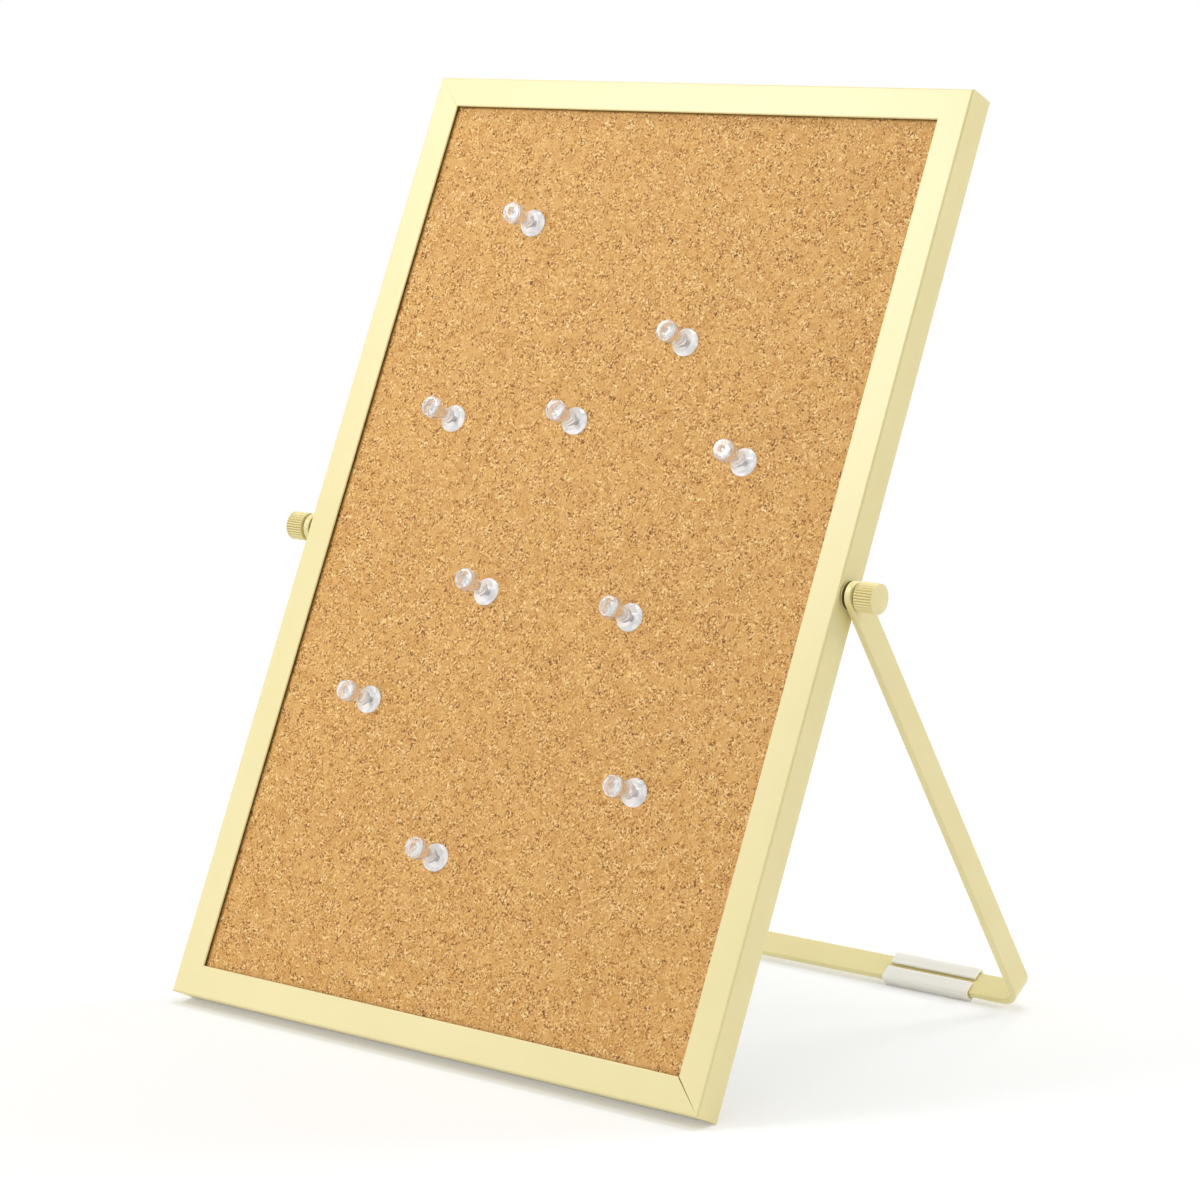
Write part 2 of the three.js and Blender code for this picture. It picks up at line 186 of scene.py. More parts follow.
class ScrewSizes(bpy.types.PropertyGroup):
    """Sizes of the thumb screws and push pins"""
    pitch: size("Pitch", 0.7, "Thread pitch")
    thread: size("Thread depth", 0.4, "Depth of the thread")
    threaded: size("Threaded length", 6.3, "Length of the thread from the tip")
    seat: size("Stud seat", 4.0, "How deep the stud sits in the knob")
    flute: size("Flute", 0.6, "Depth of the knob's flutes")
    plain_end: size("Plain end", 0.12, "Length of the knob past its flutes")
    boss: size("Spacer step", 1.6, "How much narrower a spacer is on the side of the leg")
    step: size("Washer step", 0.7, "How much narrower a washer is on the side of the knob")
    chamfer: size("Knob edge", 0.12, "Rounding of the knob's rims")
    flutes: IntProperty(name="Flutes", description="Number of flutes on a knob", default=32)
    waist: size("Pin waist", 1.95, "Radius of a pin's waist")
    head: size("Pin head", 3.2, "Radius of a pin's head")
    head_length: size("Pin head length", 3.3, "Length of a pin's head")
    flange: size("Pin flange", 1.1, "Thickness of a pin's flange at its rim")
    dimple: size("Pin dimple", 0.6, "Depth of the dimple in a pin's head")
    needle_top: size("Needle root", 2.2, "How far a needle reaches into its pin")
    fins: size("Needle fins", 0.9, "How far the fins at the root of a needle stand out")
    ring_edge: size("Ring edge", 0.05, "Rounding of the edges of spacers and washers")
    # Rim of the narrow step that is left out of its painted shade
    unshaded_rim: size("Unshaded rim", 0.15, "Width of the rim that has kept the nylon's colour")


class StageSettings(bpy.types.PropertyGroup):
    """Camera and light"""
    azimuth: FloatProperty(name="Azimuth", description="Camera's way round from the front",
                           default=math.radians(38.708), subtype="ANGLE")
    elevation: FloatProperty(name="Elevation", description="Camera's height above the aim",
                             default=math.radians(9.309), subtype="ANGLE")
    roll: FloatProperty(name="Roll", description="Camera's turn about its own axis",
                        default=math.radians(0.285), subtype="ANGLE")
    distance: size("Distance", 1067.9, "From the camera to the aim")
    aim: FloatVectorProperty(name="Aim", description="Aimed point, from the pivot", size=3,
                             default=(0.01067, 0.00126, -0.01099), subtype="TRANSLATION")
    lens: FloatProperty(name="Lens", description="Focal length in millimetres", default=109.21)
    fill: FloatProperty(name="Fill", description="Strength of the room's light", default=0.495)


# Shapes

MERGE, SHEET_MERGE = 1e-7, 1e-6  # distances at which two points become one
ROUND_STEPS, FINE_STEPS, THREAD_STEPS, STEPS_PER_FLUTE = 64, 96, 48, 10  # points round a piece


def rounded(corners, radii, steps=6, closed=True):
    """Outline with rounded corners. At each corner a circle touches both sides: its centre
    lies on the bisector, radius over the sine of half the angle away. Along its arc of angle a
    the weights sin((1 - t) a) / sin a and sin(t a) / sin a turn one end radius evenly into the
    other."""
    corners = np.asarray(corners, float)
    t = np.linspace(0, 1, steps + 1)[:, None]
    pieces = []
    for i, (corner, radius) in enumerate(zip(corners, radii)):
        if radius == 0 or not closed and i in (0, len(corners) - 1):
            pieces.append(corner[None])
            continue
        before = corners[i - 1] - corner
        after = corners[(i + 1) % len(corners)] - corner
        before /= np.linalg.norm(before)
        after /= np.linalg.norm(after)
        half = math.acos(np.clip(before @ after, -1, 1)) / 2
        sweep = math.pi - 2 * half
        first, last = (np.sin(share * sweep) / math.sin(sweep) for share in (1 - t, t))
        middle = (before + after) / np.linalg.norm(before + after) * radius / math.sin(half)
        start, stop = (side * radius / math.tan(half) for side in (before, after))
        pieces.append(corner + middle + first * (start - middle) + last * (stop - middle))
    return np.concatenate(pieces)


def quads(rows, columns, around=False, along=False):
    """Faces of a grid of points: each joins point (i, j) to its neighbours at i + 1 and j + 1.
    around closes the columns on themselves, along the rows."""
    index = np.arange(rows * columns).reshape(rows, columns)
    if around:
        index = np.concatenate([index, index[:, :1]], 1)
    if along:
        index = np.concatenate([index, index[:1]], 0)
    faces = [index[:-1, :-1], index[:-1, 1:], index[1:, 1:], index[1:, :-1]]
    return np.stack(faces, -1).reshape(-1, 4)


def turned(profile, steps, ripple=None, ring=False):
    """Surface of revolution: (r cos a, r sin a, z) for each profile point (r, z) and angle a.
    ripple(a, z, r) may change r. The profile starts and ends on the axis, where its points
    become single poles, or closes on itself where ring is true."""
    profile = np.asarray(profile, float)
    body = profile if ring else profile[1:-1]
    angle = np.linspace(0, 2 * math.pi, steps, endpoint=False)[None, :]
    radius, height = np.broadcast_arrays(body[:, :1], angle)[0], body[:, 1:]
    radius = ripple(angle, height, radius) if ripple else radius
    height = np.broadcast_to(height, radius.shape)
    points = np.stack([radius * np.cos(angle), radius * np.sin(angle), height], -1)
    faces = quads(len(body), steps, around=True, along=ring).tolist()
    points = points.reshape(-1, 3)
    if ring:
        return points, faces
    poles = np.array([[0, 0, profile[0, 1]], [0, 0, profile[-1, 1]]])
    first = np.arange(steps)
    after = np.roll(first, -1)
    last = first + (len(body) - 1) * steps
    near = np.stack([np.full(steps, len(points)), after, first], 1)
    far = np.stack([np.full(steps, len(points) + 1), last, np.roll(last, -1)], 1)
    return np.concatenate([points, poles]), faces + near.tolist() + far.tolist()


def put(name, data):
    """New object in the scene."""
    piece = bpy.data.objects.new(name, data)
    bpy.context.scene.collection.objects.link(piece)
    return piece


def upright(radius, heights):
    """Profile points at one radius and these heights."""
    return np.stack([np.full_like(heights, radius), heights], 1)


def make(name, place, points, faces, smooth=35, sheet=False):
    """New mesh object from local points and faces. Doubled points are merged. The faces of a
    closed surface are turned outwards, where its volume is positive, and those of a sheet all
    one way. Edges sharper than smooth degrees stay sharp."""
    mesh = bpy.data.meshes.new(name)
    mesh.from_pydata(place.out(points).tolist(), [], faces)
    work = bmesh.new()
    work.from_mesh(mesh)
    bmesh.ops.remove_doubles(work, verts=work.verts, dist=SHEET_MERGE if sheet else MERGE)
    if sheet:
        bmesh.ops.recalc_face_normals(work, faces=work.faces)
    elif work.calc_volume(signed=True) < 0:
        bmesh.ops.reverse_faces(work, faces=work.faces)
    work.to_mesh(mesh)
    work.free()
    mesh.shade_smooth()
    mesh.set_sharp_from_angle(angle=math.radians(smooth))
    return put(name, mesh)


def modify(piece, kind, **settings):
    """One modifier with its settings."""
    added = piece.modifiers.new(kind.title(), kind)
    for key, value in settings.items():
        setattr(added, key, value)


def apply_all(piece):
    """The piece's shape with its modifiers becomes its mesh."""
    shown = piece.evaluated_get(bpy.context.evaluated_depsgraph_get())
    mesh = bpy.data.meshes.new_from_object(shown)
    old = piece.data
    piece.modifiers.clear()
    piece.data = mesh
    bpy.data.meshes.remove(old)


def thicken(piece, thickness, edge, segments, angle):
    """A surface becomes the middle of a sheet whose edges above this angle are rounded."""
    modify(piece, "SOLIDIFY", thickness=thickness, offset=0, use_even_offset=True)
    modify(piece, "BEVEL", width=edge, segments=segments, limit_method="ANGLE",
           angle_limit=math.radians(angle), harden_normals=True)


def mark(piece, name, values):
    """One number for each point of the piece, which a material reads by this name."""
    numbers = piece.data.attributes.new(name, "FLOAT", "POINT")
    numbers.data.foreach_set("value", values.astype(np.float32))


def fit(piece, body, slot, node):
    """The piece rides on its body, stands for its CAD node and gets its slot's material."""
    piece.data.materials.clear()
    piece.data.materials.append(finish_of(slot))
    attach(piece, body)
    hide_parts(node)


# Finishes

def linear(text):
    """An sRGB hex colour as linear values: v / 12.92 up to 0.04045, else
    ((v + 0.055) / 1.055) to the power 2.4, and an alpha of 1."""
    values = [int(text[i:i + 2], 16) / 255 for i in (1, 3, 5)]
    return (*[v / 12.92 if v <= 0.04045 else ((v + 0.055) / 1.055) ** 2.4 for v in values], 1)


def per(millimetres):
    """Texture scale at which one period of a pattern takes this length."""
    return 1000 / millimetres


def socket(source):
    """A node stands for its first output."""
    return source.outputs[0] if isinstance(source, bpy.types.Node) else source


def add(tree, kind, values=None, links=None, stops=None, **settings):
    """One node. settings are its own, values go into its sockets, links join its sockets to
    outputs, and stops are the places and colours of a ramp."""
    made = tree.nodes.new("ShaderNode" + kind)
    for key, value in settings.items():
        setattr(made, key, value)
    for key, value in (values or {}).items():
        made.inputs[key].default_value = value
    for key, source in (links or {}).items():
        tree.links.new(socket(source), made.inputs[key])
    if stops:
        ramp = made.color_ramp.elements
        while len(ramp) < len(stops):
            ramp.new(1)
        for element, (position, colour) in zip(ramp, stops):
            element.position, element.color = position, linear(colour)
    return made


def finish(name, **values):
    """New material with one Principled shader, where an underscore in a value's name is a space.
    Returns the material, its tree and the object's own coordinates."""
    made = bpy.data.materials.new(name)
    made.use_nodes = True
    tree = made.node_tree
    for key, value in values.items():
        tree.nodes["Principled BSDF"].inputs[key.replace("_", " ")].default_value = value
    return made, tree, add(tree, "TexCoord").outputs["Object"]


def join(made, **sources):
    """Joins outputs to sockets of a material's shader, or to its Surface, and returns it."""
    nodes, links = made.node_tree.nodes, made.node_tree.links
    for key, source in sources.items():
        end = nodes["Material Output" if key == "Surface" else "Principled BSDF"]
        links.new(socket(source), end.inputs[key.replace("_", " ")])
    return made


def powder_coat():
    """Polyester powder baked on aluminium: an even butter-yellow satin under the clear skin that
    the resin forms, which gives a broad white sheen. The melt leaves a fine orange peel, about
    0.8 mm from crest to crest, and a faint cloudiness of gloss."""
    made, tree, where = finish("Powder_coated_aluminium", IOR=1.5, Coat_Weight=0.8,
                               Coat_Roughness=0.35)
    cloud = add(tree, "TexNoise", {"Scale": per(26), "Detail": 2}, {"Vector": where})
    colour = add(tree, "ValToRGB", links={0: cloud}, stops=((0.3, "#E9DB9A"), (0.7, "#EDDFA0")))
    gloss = add(tree, "MapRange", {"To Min": 0.32, "To Max": 0.38}, {0: cloud})
    peel = add(tree, "TexNoise", {"Scale": per(0.8), "Detail": 3}, {"Vector": where})
    bump = add(tree, "Bump", {"Strength": 0.22, "Distance": 0.00003}, {"Height": peel})
    return join(made, Base_Color=colour, Roughness=gloss, Normal=bump)


def agglomerated_cork():
    """Ground cork glued into a block and sliced: matt tan granules of about 2 mm, smooth where
    they are cut clean, and between them crumbs and torn cells of 0.3 to 0.8 mm, with painted
    shade in their hollows and painted highlight on their crests. Bark leaves a few brown specks.
    The rim that runs under the frame's lips is painted dark as their shade, a dark line beside them."""
    made, tree, where = finish("Agglomerated_cork", Roughness=0.6, IOR=1.45)
    warp = add(tree, "TexNoise", {"Scale": per(1.1), "Detail": 2}, {"Vector": where})
    offset = add(tree, "VectorMath", {1: (0.5, 0.5, 0.5)}, {0: warp.outputs["Color"]},
                 operation="SUBTRACT")
    torn = add(tree, "VectorMath", {1: (0.0016, 0.0016, 0.0016)}, {0: offset, 2: where},
               operation="MULTIPLY_ADD")
    granule = 1000 * bpy.context.scene.board_frame.granule
    grain = add(tree, "TexVoronoi", {"Scale": per(granule)}, {"Vector": torn})
    tone = add(tree, "SeparateColor", links={0: grain.outputs["Color"]}).outputs
    # How torn a place is: granules cut clean stay smooth, and crumbs gather between them
    crowd = add(tree, "TexNoise", {"Scale": per(2.6), "Detail": 1}, {"Vector": where})
    clean = add(tree, "MapRange", {"From Min": 0.55, "From Max": 0.75, "To Max": 0.5},
                {0: tone["Blue"]})
    rough = add(tree, "MapRange",
                {"From Min": 0.35, "From Max": 0.65, "To Min": 0.7, "To Max": 1.9}, {0: crowd})
    torn_share = add(tree, "Math", links={0: rough, 1: clean}, operation="SUBTRACT")
    # The height of a place in its granule, about 0.5, gives both its colour and its relief
    cells = add(tree, "TexNoise", {"Scale": per(0.62), "Detail": 2, "Roughness": 0.65},
                {"Vector": torn})
    centred = add(tree, "Math", {1: 0.5}, {0: cells}, operation="SUBTRACT")
    crumbs = add(tree, "Math", links={0: centred, 1: torn_share}, operation="MULTIPLY")
    lifted = add(tree, "MapRange", {"To Min": 0.465, "To Max": 0.535}, {0: tone["Red"]})
    height = add(tree, "Math", links={0: crumbs, 1: lifted}, operation="ADD")
    # The ramp turns height into colour: each granule's own tone, and in the crumbs painted shade low and painted
    # highlight high
    colour = add(tree, "ValToRGB", links={0: height},
                 stops=((0.2, "#643506"), (0.33, "#9E6114"), (0.43, "#C99146"), (0.5, "#D8A45C"),
                        (0.57, "#E4B36B"), (0.67, "#F8CE85"), (0.8, "#FFE4AC")))
    bark = add(tree, "TexVoronoi", {"Scale": per(1.3)}, {"Vector": torn}).outputs
    chosen = add(tree, "SeparateColor", links={0: bark["Color"]})
    few = add(tree, "Math", {1: 0.93}, {0: chosen}, operation="GREATER_THAN")
    small = add(tree, "MapRange", {"From Min": 0.34, "From Max": 0.2}, {0: bark["Distance"]})
    speck = add(tree, "Math", links={0: few, 1: small}, operation="MULTIPLY")
    specked = add(tree, "Mix", {7: linear("#844C12")}, {0: speck, 6: colour}, data_type="RGBA")
    # Painted shade: the rim under the frame's lips, marked on the sheet, is mixed toward dark olive
    rim = add(tree, "Attribute", attribute_name="rim").outputs["Fac"]
    lip_shaded = add(tree, "Mix", {7: linear("#584A12")}, {0: rim, 6: specked.outputs[2]},
                  data_type="RGBA")
    bump = add(tree, "Bump", {"Strength": 0.5, "Distance": 0.0003}, {"Height": height})
    return join(made, Base_Color=lip_shaded.outputs[2], Normal=bump)


def clear_polystyrene():
    """Injection-moulded crystal polystyrene: glossy, with bright edges because of its high index
    of 1.59. It is a little milky from the mould, so it veils what lies behind it, and the flow
    of the melt leaves a faint waviness. Shadow rays mostly pass, because the lamps' light goes
    through it to the flange's underside and the cork."""
    made, tree, where = finish("Clear_polystyrene", Base_Color=linear("#F8F5F7"), Roughness=0.025,
                               IOR=1.59, Transmission_Weight=0.85, Subsurface_Weight=0.5,
                               Subsurface_Radius=(1, 1, 1), Subsurface_Scale=0.002)
    flow = add(tree, "TexNoise", {"Scale": per(2.5), "Detail": 1}, {"Vector": where})
    bump = add(tree, "Bump", {"Strength": 0.25, "Distance": 0.00008}, {"Height": flow})
    shadow = add(tree, "LightPath").outputs["Is Shadow Ray"]
    passed = add(tree, "Math", {1: 0.8}, {0: shadow}, operation="MULTIPLY")
    clear, plastic = add(tree, "BsdfTransparent"), tree.nodes["Principled BSDF"]
    mixed = add(tree, "MixShader", links={0: passed, 1: plastic, 2: clear})
    return join(made, Normal=bump, Surface=mixed)


def frosted_polystyrene():
    """The same plastic where the mould was left rough, on the flange's underside: it scatters
    the light that falls through the pin, so the flange shines white from within. Patches of
    about 2.4 mm are a little greyer."""
    made, tree, where = finish("Frosted_polystyrene", Roughness=0.7, IOR=1.59)
    grit = add(tree, "TexNoise", {"Scale": per(2.4), "Detail": 2}, {"Vector": where})
    colour = add(tree, "ValToRGB", links={0: grit}, stops=((0.4, "#D6DCD8"), (0.6, "#FEFEFE")))
    return join(made, Base_Color=colour)


def plated_steel():
    """Zinc-plated steel, drawn and barrel-plated: a grey satin metal, slightly uneven."""
    made, tree, where = finish("Plated_steel", Metallic=1.0, Roughness=0.3)
    cloud = add(tree, "TexNoise", {"Scale": per(1.2), "Detail": 3}, {"Vector": where})
    colour = add(tree, "ValToRGB", links={0: cloud}, stops=((0.3, "#A3A4A6"), (0.7, "#C4C5C6")))
    gloss = add(tree, "MapRange", {"To Min": 0.22, "To Max": 0.42}, {0: cloud})
    return join(made, Base_Color=colour, Roughness=gloss)


def moulded_nylon():
    """Moulded nylon in the paint's yellow: a waxy satin with a very fine spark-eroded grain,
    drawn at 0.35 mm. Its narrow step, in the gap next to the leg or the knob, is painted dark as shade."""
    made, tree, where = finish("Moulded_nylon", Roughness=0.45, IOR=1.53, Subsurface_Weight=0.1,
                               Subsurface_Radius=(0.6, 0.5, 0.3), Subsurface_Scale=0.001)
    grain = add(tree, "TexNoise", {"Scale": per(0.35), "Detail": 2}, {"Vector": where})
    colour = add(tree, "ValToRGB", links={0: grain}, stops=((0.3, "#DFD69C"), (0.7, "#E6DDA6")))
    # Painted shade: the marked points in the gap beside the leg or knob mix toward dark olive
    gap_shade = add(tree, "Attribute", attribute_name="gap_shade").outputs["Fac"]
    gap_shaded = add(tree, "Mix", {7: linear("#766830")}, {0: gap_shade, 6: colour}, data_type="RGBA")
    bump = add(tree, "Bump", {"Strength": 0.2, "Distance": 0.00003}, {"Height": grain})
    return join(made, Base_Color=gap_shaded.outputs[2], Normal=bump)


def extruded_silicone():
    """Extruded silicone rubber, cut to length: milky and a little see-through, with a soft
    satin and faint lines along the way it was drawn."""
    made, tree, where = finish("Extruded_silicone", Roughness=0.4, IOR=1.41, Subsurface_Weight=0.5,
                               Subsurface_Radius=(1.0, 0.95, 0.9), Subsurface_Scale=0.0015)
    drawn = add(tree, "Mapping", {"Scale": (0.05, 1, 1)}, {"Vector": where})
    lines = add(tree, "TexNoise", {"Scale": per(1.4), "Detail": 1}, {"Vector": drawn})
    colour = add(tree, "ValToRGB", links={0: lines}, stops=((0.3, "#F8F3E7"), (0.7, "#FCF8EF")))
    bump = add(tree, "Bump", {"Strength": 0.15, "Distance": 0.00003}, {"Height": lines})
    return join(made, Base_Color=colour, Normal=bump)


def dry_erase_enamel():
    """White enamel coil-coated on thin steel: a glass-like gloss with a slow, very shallow
    waviness of the sheet."""
    made, tree, where = finish("Dry_erase_enamel", Roughness=0.08, IOR=1.5)
    wave = add(tree, "TexNoise", {"Scale": per(22), "Detail": 1}, {"Vector": where})
    colour = add(tree, "ValToRGB", links={0: wave}, stops=((0.3, "#EDEFEE"), (0.7, "#F2F4F3")))
    bump = add(tree, "Bump", {"Strength": 0.1, "Distance": 0.00004}, {"Height": wave})
    return join(made, Base_Color=colour, Normal=bump)


def pressed_fibre():
    """Pressed wood fibre board: matt brown with short fibres of about 1 mm."""
    made, tree, where = finish("Pressed_fibre_board", Roughness=0.9, IOR=1.4)
    fibre = add(tree, "TexNoise", {"Scale": per(1), "Detail": 4, "Distortion": 2},
                {"Vector": where})
    colour = add(tree, "ValToRGB", links={0: fibre}, stops=((0.3, "#8E7350"), (0.7, "#B3956B")))
    bump = add(tree, "Bump", {"Strength": 0.4, "Distance": 0.0001}, {"Height": fibre})
    return join(made, Base_Color=colour, Normal=bump)


MAKERS = {
    "yellow_paint": powder_coat, "cork": agglomerated_cork, "bare_steel": plated_steel,
    "clear_plastic": clear_polystyrene, "frosted": frosted_polystyrene, "nylon": moulded_nylon,
    "silicone": extruded_silicone, "white_enamel": dry_erase_enamel, "core": pressed_fibre,
}
FINISHES = {}


def finish_of(slot):
    """The material of one slot of the record, made on first use."""
    if slot not in FINISHES:
        FINISHES[slot] = MAKERS[slot]()
    return FINISHES[slot]


# Frame

def rail_section(sizes):
    """Outline of the extrusion and its chamber, as distances in from the outer side and back
    from the front: a hollow side and a slot between two lips, each undercut to a thin edge."""
    wall, depth = sizes.wall, 2 * HALF_DEPTH
    slot, lip, shoulder = wall + sizes.chamber + sizes.web, sizes.lip, FRAME_FACE - sizes.undercut
    corners = [(0, 0), (FRAME_FACE, 0), (FRAME_FACE, lip), (shoulder, wall), (slot, wall),
               (slot, depth - wall), (shoulder, depth - wall), (FRAME_FACE, depth - lip),
               (FRAME_FACE, depth), (0, depth)]
    # The lip's thin edge has a round nose outside and a nearly sharp corner in the slot
    edge, nose, inside = sizes.edge, lip * 0.82, lip * 0.1
    outline = rounded(corners, (edge, nose, inside, 0, 0, 0, 0, inside, nose, edge), steps=8)
    inner = wall + sizes.chamber
    chamber = [(wall, wall), (inner, wall), (inner, depth - wall), (wall, depth - wall)]
    return outline, rounded(chamber, (lip / 3,) * 4, steps=3)


def rail(outward, half_span, half_length, gaps, sizes):
    """One rail as a section carried along a straight line. At each end the point that lies u in
    from the outer side stops u short of the corner, which makes the mitre, and a little more
    where the mitre gapes: half the gap, growing evenly from nothing at the outer corner."""
    outline, chamber = rail_section(sizes)
    outward = np.array(outward, float)
    along = np.cross((0, 1, 0), outward)

    def row(section, end):
        """Section points placed at one end of the rail."""
        depth_in = section[:, :1]
        gap = gaps[(end + 1) // 2] * depth_in / FRAME_FACE
        reach = end * (half_length - gap / 2 * math.sqrt(2) - depth_in)
        back = (section[:, 1:] - HALF_DEPTH) * (0, 1, 0)
        return (half_span - depth_in) * outward + reach * along + back

    points = np.concatenate([row(outline, -1), row(outline, 1), row(chamber, -1), row(chamber, 1)])
    count, inner = len(outline), len(chamber)
    faces = quads(2, count, around=True).tolist()
    faces += (quads(2, inner, around=True)[:, ::-1] + 2 * count).tolist()
    flat = [[Vector((u, v, 0)) for u, v in loop] for loop in (outline, chamber)]
    cap = np.array(tessellate_polygon(flat))
    first = np.where(cap < count, cap, cap + count)
    last = np.where(cap < count, cap + count, cap + count + inner)
    return points, closed_by(faces, first.tolist(), last.tolist())


def closed_by(faces, *caps):
    """The faces with both caps, each cap turned so that it continues its neighbours: an edge
    that two faces share runs opposite ways in them."""
    edges = {(f[i], f[(i + 1) % len(f)]) for f in faces for i in range(len(f))}
    for cap in caps:
        used = {(t[i], t[(i + 1) % 3]) for t in cap for i in range(3)}
        faces = faces + ([t[::-1] for t in cap] if used & edges else cap)
    return faces


class CORKBOARD_OT_frame(bpy.types.Operator):
    """Make the four mitred rails"""
    bl_idname = "corkboard.frame"
    bl_label = "Frame rails"

    def execute(self, context):
        sizes = context.scene.board_frame
        tight, wide = sizes.mitre_gap, sizes.open_gap
        # outward direction, half span, half length, gaps at the low and high end of its own run
        rails = {
            "left": ((-1, 0, 0), HALF_WIDTH, HALF_HEIGHT, (0, tight)),
            "right": ((1, 0, 0), HALF_WIDTH, HALF_HEIGHT, (0, wide)),
            "bottom": ((0, 0, -1), HALF_HEIGHT, HALF_WIDTH, (wide, 0)),
            "top": ((0, 0, 1), HALF_HEIGHT, HALF_WIDTH, (0, 0)),
        }
        for name, (outward, half_span, half_length, gaps) in rails.items():
            points, faces = rail(outward, half_span, half_length, gaps, sizes)
            piece = make(f"rail_{name}", BOARD, points, faces)
            if outward[0]:
                drill(piece, outward[0], sizes)
            modify(piece, "WEIGHTED_NORMAL", keep_sharp=True)
            fit(piece, "board", "yellow_paint", f"frame_rail_{name}")
        return {"FINISHED"}


def drill(piece, side, sizes):
    """Cuts the hole for the rivet nut through the outer wall of a side rail."""
    depth = sizes.wall + sizes.chamber / 2
    profile = [(0, -depth), (sizes.nut_hole, -depth), (sizes.nut_hole, depth), (0, depth)]
    tool = make("drill", screw_place(side), *turned(profile, ROUND_STEPS))
    modify(piece, "BOOLEAN", object=tool, operation="DIFFERENCE", solver="EXACT")
    apply_all(piece)
    bpy.data.objects.remove(tool)


# Cork

def granules(x, z, size_of, rng):
    """Nearest jittered lattice point of each place: returns a random tone for that point's cell
    and how much nearer it is than the second nearest, which is small at a seam."""
    columns, rows = (int(math.ceil(np.ptp(v) / size_of)) + 4 for v in (x, z))
    jitter = rng.uniform(-0.45, 0.45, (columns, rows, 2))
    tones = rng.uniform(0, 1, (columns, rows))
    u, w = (x - x.min()) / size_of + 1.5, (z - z.min()) / size_of + 1.5
    i, k = np.floor(u).astype(int), np.floor(w).astype(int)
    reach, tone = [], []
    for di in (-1, 0, 1):
        for dk in (-1, 0, 1):
            near = i + di, k + dk
            shift = jitter[near] + 0.5
            reach.append(np.hypot(near[0] + shift[..., 0] - u, near[1] + shift[..., 1] - w))
            tone.append(tones[near])
    order = np.argsort(reach, axis=0)
    nearest, second = np.take_along_axis(np.array(reach), order[:2], 0)
    return np.take_along_axis(np.array(tone), order[:1], 0)[0], second - nearest


class CORKBOARD_OT_cork(bpy.types.Operator):
    """Make the cork sheet with its granular face and its pin holes"""
    bl_idname = "corkboard.cork"
    bl_label = "Cork sheet"

    def execute(self, context):
        sizes = context.scene.board_frame
        low, high = BOARD.box("cork_sheet")
        columns, rows = (int(round((high[i] - low[i]) / sizes.cork_cell)) + 1 for i in (0, 2))
        x, z = np.meshgrid(np.linspace(low[0], high[0], columns),
                           np.linspace(low[2], high[2], rows))
        tone, seam = granules(x, z, sizes.granule, np.random.default_rng(7))
        # Depth of the face: each granule at its own height, sunk where it meets the next
        seam_width = 0.15  # of a granule
        sunk = 0.6 * tone + 0.4 * np.exp(-seam / seam_width)
        face = low[1] - sizes.rise
        y = face + sizes.relief * sunk
        for number in PINS:
            place = pin_place(number)
            run = place.axes[2] @ BOARD.axes.T
            base = BOARD.into(place.origin)
            foot = base - run * (base[1] - face) / run[1]
            near = np.unravel_index(np.argmin(np.hypot(x - foot[0], z - foot[2])), x.shape)
            x[near], z[near], y[near] = foot[0], foot[2], face + sizes.pin_hole
        front = np.stack([x, y, z], -1).reshape(-1, 3)
        index = np.arange(rows * columns).reshape(rows, columns)
        edge = np.concatenate([index[0, :-1], index[:-1, -1], index[-1, :0:-1], index[:0:-1, 0]])
        back = front[edge]
        back[:, 1] = high[1]
        points = np.concatenate([front, back])
        behind = len(front) + np.arange(len(edge))
        side = np.stack([edge, behind, np.roll(behind, -1), np.roll(edge, -1)], 1)
        faces = quads(rows, columns).tolist() + side.tolist() + [behind[::-1].tolist()]
        piece = make("cork_face", BOARD, points, faces, smooth=80)
        # The painted shade of the lips starts where they begin to hide the cork
        inside = np.minimum(HALF_WIDTH - np.abs(points[:, 0]), HALF_HEIGHT - np.abs(points[:, 2]))
        # how dark the lips' painted shade gets
        lip_shade = 0.8
        mark(piece, "rim", lip_shade * np.clip((FRAME_FACE - inside) / sizes.cork_cell + 0.5, 0, 1))
        fit(piece, "board", "cork", "cork_sheet")
        return {"FINISHED"}


# Push pins

def pin_profile(sizes, flange, length):
    """Radius and height along the pin from the middle of its base to the middle of its dimple:
    a thin flange, a cone that sweeps into the waist, and a short barrel with a dimpled end."""
    base, bottom = length - sizes.head_length, length - sizes.dimple
    rim, head, waist = sizes.flange, sizes.head, sizes.waist
    corners = [
        (0, 0), (flange, 0), (flange, rim * 0.75), (waist + 1.35 * rim, rim * 1.25),
        (waist, rim * 3.45), (waist * 0.96, base - rim * 0.5), (head, base + rim * 0.12),
        (head, length), (0.34 * head, length), (0.2 * head, bottom), (0, bottom),
    ]
    radii = np.array([0, 0.35, 0.35, 1.6, 3.0, 1.1, 0.7, 0.55, 0.2, 0.3, 0]) / 1000
    return rounded(corners, radii, steps=8, closed=False)


def needle_profile(sizes, radius, tip):
    """Radius and height along a needle: a point with a long shoulder, and a straight stem whose
    steps in the plastic are short enough for its fins."""
    shoulder = 0.004
    corners = [(0, tip), (radius * 0.9, tip + 3 * radius), (radius, 0)]
    point = rounded(corners, (0, shoulder, 0), steps=5, closed=False)
    stem = upright(radius, np.linspace(0, sizes.needle_top, 14)[1:])
    return np.concatenate([point, stem, [(0, sizes.needle_top)]])


